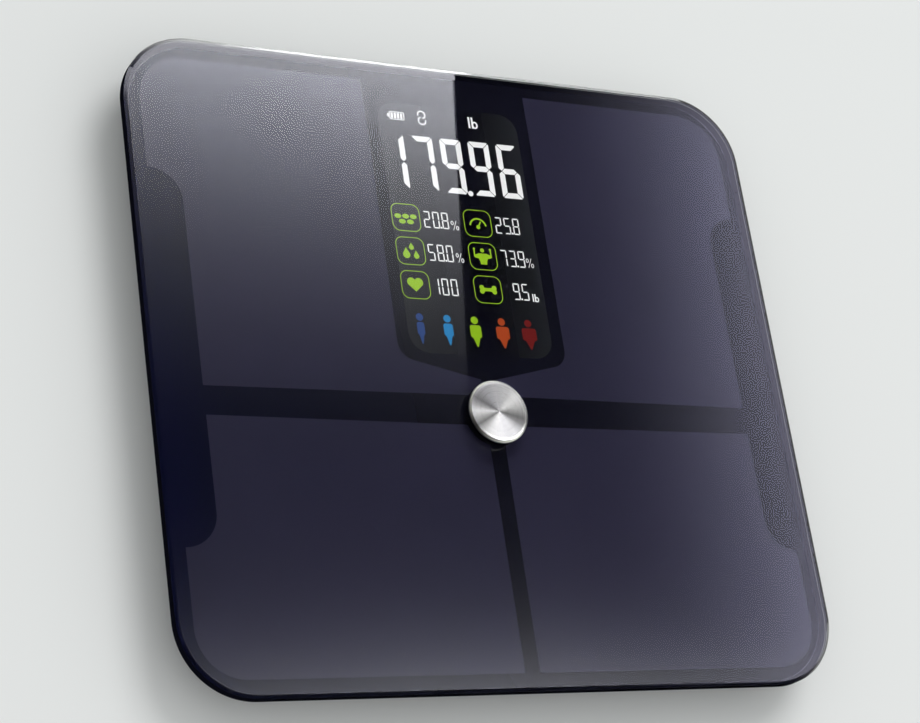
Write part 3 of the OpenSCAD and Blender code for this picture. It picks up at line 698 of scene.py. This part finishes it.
def plane(name, size, z, material, centre=(0, 0), faces_down=False):
    bm = bmesh.new()
    hx, hy = size[0] / 2, size[1] / 2
    corners = [(-hx, -hy), (hx, -hy), (hx, hy), (-hx, hy)]
    if faces_down:
        corners.reverse()
    bm.faces.new([bm.verts.new((centre[0] + x, centre[1] + y, 0)) for x, y in corners])
    mesh = bpy.data.meshes.new(name)
    bm.to_mesh(mesh)
    bm.free()
    mesh.materials.append(material)
    obj = bpy.data.objects.new(name, mesh)
    obj.location.z = z
    bpy.context.collection.objects.link(obj)
    return obj


def floor_material():
    """Pale matt floor that can be looked through from underneath; its colour is darker towards +Y, a painted
    shade of the backdrop's light.
    """
    m = Nodes("floor")
    # painted shade: the floor colour darkens towards +Y
    along = m.maths("ADD", m.maths("MULTIPLY", m.noise(0.4), 0.1), m.place()["Y"])
    m.link(m.ramp(m.maths("ADD", along, 0.5), [(0.2, (0.87, 0.875, 0.872)), (0.75, (0.78, 0.79, 0.785))]),
           m.bsdf.inputs["Base Color"])
    m.set(Roughness=0.9, Specular_IOR_Level=0.0)
    back = m.add("ShaderNodeNewGeometry")
    clear = m.add("ShaderNodeBsdfTransparent")
    mix = m.add("ShaderNodeMixShader")
    m.link(back.outputs["Backfacing"], mix.inputs[0])
    m.link(m.bsdf.outputs[0], mix.inputs[1])
    m.link(clear.outputs[0], mix.inputs[2])
    m.link(mix.outputs[0], m.out.inputs["Surface"])
    return m.mat


def over(m, value, start, span):
    """How far the value is past the start, in spans, and never below nought."""
    return m.maths("MAXIMUM", m.maths("DIVIDE", m.maths("SUBTRACT", value, start), span), 0.0)


def clamped(m, value, low, high):
    return m.maths("MINIMUM", m.maths("MAXIMUM", value, low), high)


# the softbox overhead, in metres of the shared frame
CARD_Z = 1.524
CARD_SIZE = (2.6, 2.6)
CARD_CENTRE = (0.4, 0.5)
CARD_EDGE_X = 0.8168        # right edge of its bright panel at y = 0
CARD_EDGE_SLOPE = 0.1072    # and how that edge leans
CARD_RISE_Y = 0.4025        # the panel starts here and brightens towards the toes
CARD_FAR_Y = 0.7595         # from here on it brightens once more
CARD_RIGHT_X = 0.9918       # the right wash starts here
CARD_HEEL_Y = 0.2562        # the heel wash has its nominal strength here and grows towards the heels
CARD_HEEL_X = 0.86          # the middle of the heel wash
CARD_SPOT = (-0.26, 0.64)   # the middle of a small bright spot
SURROUND_R = 6.0


def card_material():
    """Light of the softbox, only for reflections: a hard-edged fading panel, a spot and two faint washes."""
    m = Nodes("softbox")
    place = m.place()
    x, y = place["X"], place["Y"]

    rise_span, rise_power, rise_top, panel_gain = 0.68, 3.1, 1.6, 7.0
    rise = m.maths("POWER", over(m, y, CARD_RISE_Y, rise_span), rise_power)
    rise = m.maths("MINIMUM", rise, rise_top)
    fade_slope, fade_at_0, fade_top = 0.55, 0.52, 1.1
    left_fade = clamped(m, m.maths("MULTIPLY_ADD", x, fade_slope, fade_at_0), 0.0, fade_top)
    far_span, far_gain, far_base, far_top = 0.258, 0.5, 1.04, 1.7
    far = m.maths("MULTIPLY_ADD", over(m, y, CARD_FAR_Y, far_span), far_gain, far_base)
    far = m.maths("MULTIPLY", m.maths("MINIMUM", far, far_top), panel_gain)
    panel = m.maths("MULTIPLY", m.maths("MULTIPLY", rise, left_fade), far)
    panel_x = m.maths("MULTIPLY_ADD", y, CARD_EDGE_SLOPE, CARD_EDGE_X)
    panel = m.maths("MULTIPLY", panel, m.maths("LESS_THAN", x, panel_x))

    spot_half, spot_soft, spot_gain = (0.15, 0.1), (0.05, 0.06), 3.5
    insides = [over(m, half, m.maths("ABSOLUTE", m.maths("SUBTRACT", value, middle)), soft)
               for value, middle, half, soft in zip((x, y), CARD_SPOT, spot_half, spot_soft)]
    spot = m.maths("MINIMUM", m.maths("MULTIPLY", *insides), 1.0)
    panel = m.maths("ADD", panel, m.maths("MULTIPLY", spot, spot_gain))

    right_span, right_power, right_top, right_gain = 0.339, 2.6, 1.05, 2.34
    right = m.maths("POWER", over(m, x, CARD_RIGHT_X, right_span), right_power)
    right = m.maths("MULTIPLY", m.maths("MINIMUM", right, right_top), right_gain)

    heel_fall, heel_top, heel_gain = 0.0554, 1.6, 1.74
    heel = m.maths("EXPONENT", m.maths("DIVIDE", m.maths("SUBTRACT", CARD_HEEL_Y, y), heel_fall))
    heel = m.maths("MINIMUM", heel, heel_top)
    aside_base, aside_slope, aside_top = 1.1, 1.3, 0.97
    aside = m.maths("ABSOLUTE", m.maths("SUBTRACT", x, CARD_HEEL_X))
    aside = m.maths("SUBTRACT", aside_base, m.maths("MULTIPLY", aside, aside_slope))
    aside = clamped(m, aside, 0.0, aside_top)
    heel = m.maths("MULTIPLY", m.maths("MULTIPLY", heel, aside), heel_gain)

    total = None
    for strength, colour in ((panel, (1.0, 1.0, 1.1, 1)),
                             (right, (1.0, 0.98, 1.3, 1)),
                             (heel, (1.0, 0.99, 1.13, 1))):
        emit = m.add("ShaderNodeEmission")
        emit.inputs["Color"].default_value = colour
        m.link(strength, emit.inputs["Strength"])
        if total is None:
            total = emit.outputs[0]
        else:
            both = m.add("ShaderNodeAddShader")
            m.link(total, both.inputs[0])
            m.link(emit.outputs[0], both.inputs[1])
            total = both.outputs[0]
    m.link(total, m.out.inputs["Surface"])
    m.tree.nodes.remove(m.bsdf)
    return m.mat


def surroundings_material():
    """Pale near the horizon, dark overhead and brighter past the toes and the right side, for reflections."""
    m = Nodes("surroundings")
    # places are shares of the radius from here on
    place = m.place((1 / SURROUND_R,) * 3)
    x, y, z = place["X"], place["Y"], place["Z"]
    glow = m.ramp(z, [(0.0, (0, 0, 0)), (0.01, (0.8, 0.81, 0.81)), (0.25, (0.62, 0.63, 0.63)),
                      (0.45, (0.22, 0.22, 0.23)), (0.66, (0, 0, 0))])
    beyond_toes = m.ramp(x, [(0.34, (0.42,) * 3), (0.37, (1.0,) * 3), (0.461, (1.0,) * 3),
                             (0.464, (0.42,) * 3), (0.56, (0.2,) * 3)])
    toe_start, toe_span, toe_gain = 0.72, 0.04, 26.0
    toe_side = m.maths("MINIMUM", over(m, y, toe_start, toe_span), 1.0)
    toe_side = m.maths("MULTIPLY", m.maths("MULTIPLY", toe_side, beyond_toes), toe_gain)
    right_start, right_span, right_gain, right_top = 0.7, 0.1, 2.2, 3.0
    right_side = m.maths("MULTIPLY", over(m, x, right_start, right_span), right_gain)
    strength = m.maths("ADD", toe_side, m.maths("MINIMUM", right_side, right_top))
    above = m.maths("GREATER_THAN", z, 0.2)
    strength = m.maths("ADD", m.maths("MULTIPLY", strength, above), 1.0)
    emit = m.add("ShaderNodeEmission")
    m.link(glow, emit.inputs["Color"])
    m.link(strength, emit.inputs["Strength"])
    m.link(emit.outputs[0], m.out.inputs["Surface"])
    m.tree.nodes.remove(m.bsdf)
    return m.mat


def only_reflected(obj):
    """Seen by reflected and transmitted rays alone."""
    obj.visible_camera = False
    obj.visible_diffuse = False
    obj.visible_shadow = False
    obj.visible_volume_scatter = False


floor = plane("floor", (8, 8), 0, floor_material())
floor.visible_diffuse = False
floor.visible_shadow = False
floor.visible_glossy = False
only_reflected(plane("softbox", CARD_SIZE, CARD_Z, card_material(), centre=CARD_CENTRE, faces_down=True))

dome_mesh = bpy.data.meshes.new("surroundings")
dome_bm = bmesh.new()
bmesh.ops.create_uvsphere(dome_bm, u_segments=48, v_segments=24, radius=SURROUND_R)
dome_bm.to_mesh(dome_mesh)
dome_bm.free()
dome_mesh.materials.append(surroundings_material())
dome = bpy.data.objects.new("surroundings", dome_mesh)
bpy.context.collection.objects.link(dome)
only_reflected(dome)

world = bpy.data.worlds.new("studio")
bpy.context.scene.world = world
world.use_nodes = True
world.node_tree.nodes["Background"].inputs["Color"].default_value = (0.97, 0.99, 0.985, 1)
world.node_tree.nodes["Background"].inputs["Strength"].default_value = 0.7
world.cycles_visibility.glossy = False


def area_light(name, place, target, size, power):
    light = bpy.data.lights.new(name, "AREA")
    light.shape = "DISK"
    light.size = size
    light.energy = power
    obj = bpy.data.objects.new(name, light)
    obj.location = place
    obj.rotation_euler = (Vector(target) - Vector(place)).to_track_quat("-Z", "Y").to_euler()
    obj.visible_glossy = False
    obj.visible_transmission = False
    bpy.context.collection.objects.link(obj)
    return obj


area_light("key", place=(0.5, 1.1, 1.7), target=(0, 0, 0), size=1.3, power=15.5)

camera_data = bpy.data.cameras.new("camera")
camera_data.sensor_width = 36
camera_data.clip_start = 0.01
camera_data.lens = 88.04
camera = bpy.data.objects.new("camera", camera_data)
bpy.context.collection.objects.link(camera)
look = Vector((0.4776, 0.3442, -0.8084)).normalized()
up = Vector((-0.0453, 0.9285, 0.3686))
right = look.cross(up).normalized()
up = right.cross(look)
camera.matrix_world = Matrix.Translation((-0.4574, -0.3192, 0.7751)) @ Matrix(
    (right, up, -look)).transposed().to_4x4()
bpy.context.scene.camera = camera
bpy.context.scene.view_settings.view_transform = "Standard"
